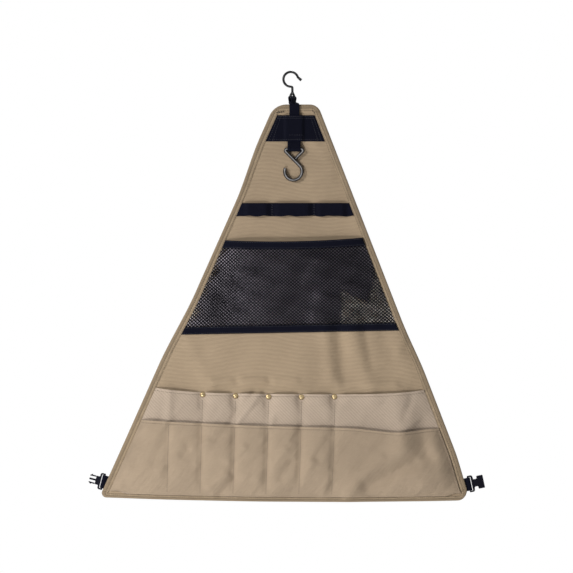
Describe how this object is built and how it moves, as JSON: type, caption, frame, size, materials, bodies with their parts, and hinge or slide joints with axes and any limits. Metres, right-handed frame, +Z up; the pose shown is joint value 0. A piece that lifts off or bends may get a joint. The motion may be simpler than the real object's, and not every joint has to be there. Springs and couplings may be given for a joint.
{
  "type": "hanging camp kitchen organizer",
  "caption": "Hanging camp kitchen organizer: tapered cloth panel on a wire hook, with a webbing rail, a lower hook, a net pocket, overlapping pocket bands and side release buckle halves.",
  "frame": {"origin": "inside top of the hang hook's ring, where it rests on what carries it", "axes": "+Z up, -Y out of the pocket side, +X to the right as the pockets are seen"},
  "size_m": [0.759, 0.0282, 0.8183],
  "materials": {
    "tan_cloth": "plain woven cotton canvas",
    "twill_cloth": "light twill",
    "binding_cloth": "folded woven tape",
    "dark_webbing": "ribbed webbing",
    "dark_net": "knitted net",
    "brass": "polished",
    "black_plastic": "satin moulding",
    "black_steel": "black coated wire"
  },
  "bodies": {
    "hook": {"hang_hook": "black_steel"},
    "panel": {"hanging_strap": "dark_webbing", "apex_patch": "dark_webbing", "front_loop": "dark_webbing", "webbing_rail": "dark_webbing", "left_tab": "dark_webbing", "right_tab": "dark_webbing", "net_top_band": "dark_webbing", "net_bottom_band": "dark_webbing", "net_panel": "dark_net", "backing_panel": "tan_cloth", "front_pocket_band": "tan_cloth", "rear_pocket_band": "twill_cloth", "top_binding": "binding_cloth", "left_binding": "binding_cloth", "right_binding": "binding_cloth", "hem_binding": "binding_cloth", "rivet_cap_1": "brass", "rivet_cap_2": "brass", "rivet_cap_3": "brass", "rivet_cap_4": "brass", "rivet_cap_5": "brass", "rivet_back_1": "brass", "rivet_back_2": "brass", "rivet_back_3": "brass", "rivet_back_4": "brass", "rivet_back_5": "brass"},
    "lower_hook": {"front_hook": "black_steel"},
    "male_half": {"male_buckle": "black_plastic"},
    "upper_prong": {"male_prong_upper": "black_plastic"},
    "lower_prong": {"male_prong_lower": "black_plastic"},
    "female_half": {"female_buckle": "black_plastic"}
  },
  "joints": [
    {"name": "panel_swing", "type": "hinge", "parent": "hook", "child": "panel", "pos_m": [0.003, 0, -0.04799], "axis": [0.4695, 0.8829, 0], "range_deg": [-45, 45]},
    {"name": "front_hook_swing", "type": "hinge", "parent": "panel", "child": "lower_hook", "pos_m": [0.0062, -0.00185, -0.14549], "axis": [-1, 0, 0], "range_deg": [0, 120]},
    {"name": "male_buckle_tilt", "type": "hinge", "parent": "panel", "child": "male_half", "pos_m": [-0.359, 0.008, -0.78229], "axis": [0.2504, 0, 0.9681], "range_deg": [-75, 75]},
    {"name": "female_buckle_tilt", "type": "hinge", "parent": "panel", "child": "female_half", "pos_m": [0.34146, 0.008, -0.78669], "axis": [-0.2079, 0, 0.9781], "range_deg": [-75, 75]},
    {"name": "upper_prong_squeeze", "type": "hinge", "parent": "male_half", "child": "upper_prong", "pos_m": [-0.37233, 0.008, -0.77151], "axis": [0, -1, 0], "range_deg": [0, 8], "stiffness_Nm_per_rad": 0.05},
    {"name": "lower_prong_squeeze", "type": "hinge", "parent": "male_half", "child": "lower_prong", "pos_m": [-0.37588, 0.008, -0.78526], "axis": [0, 1, 0], "range_deg": [0, 8], "stiffness_Nm_per_rad": 0.05}
  ]
}
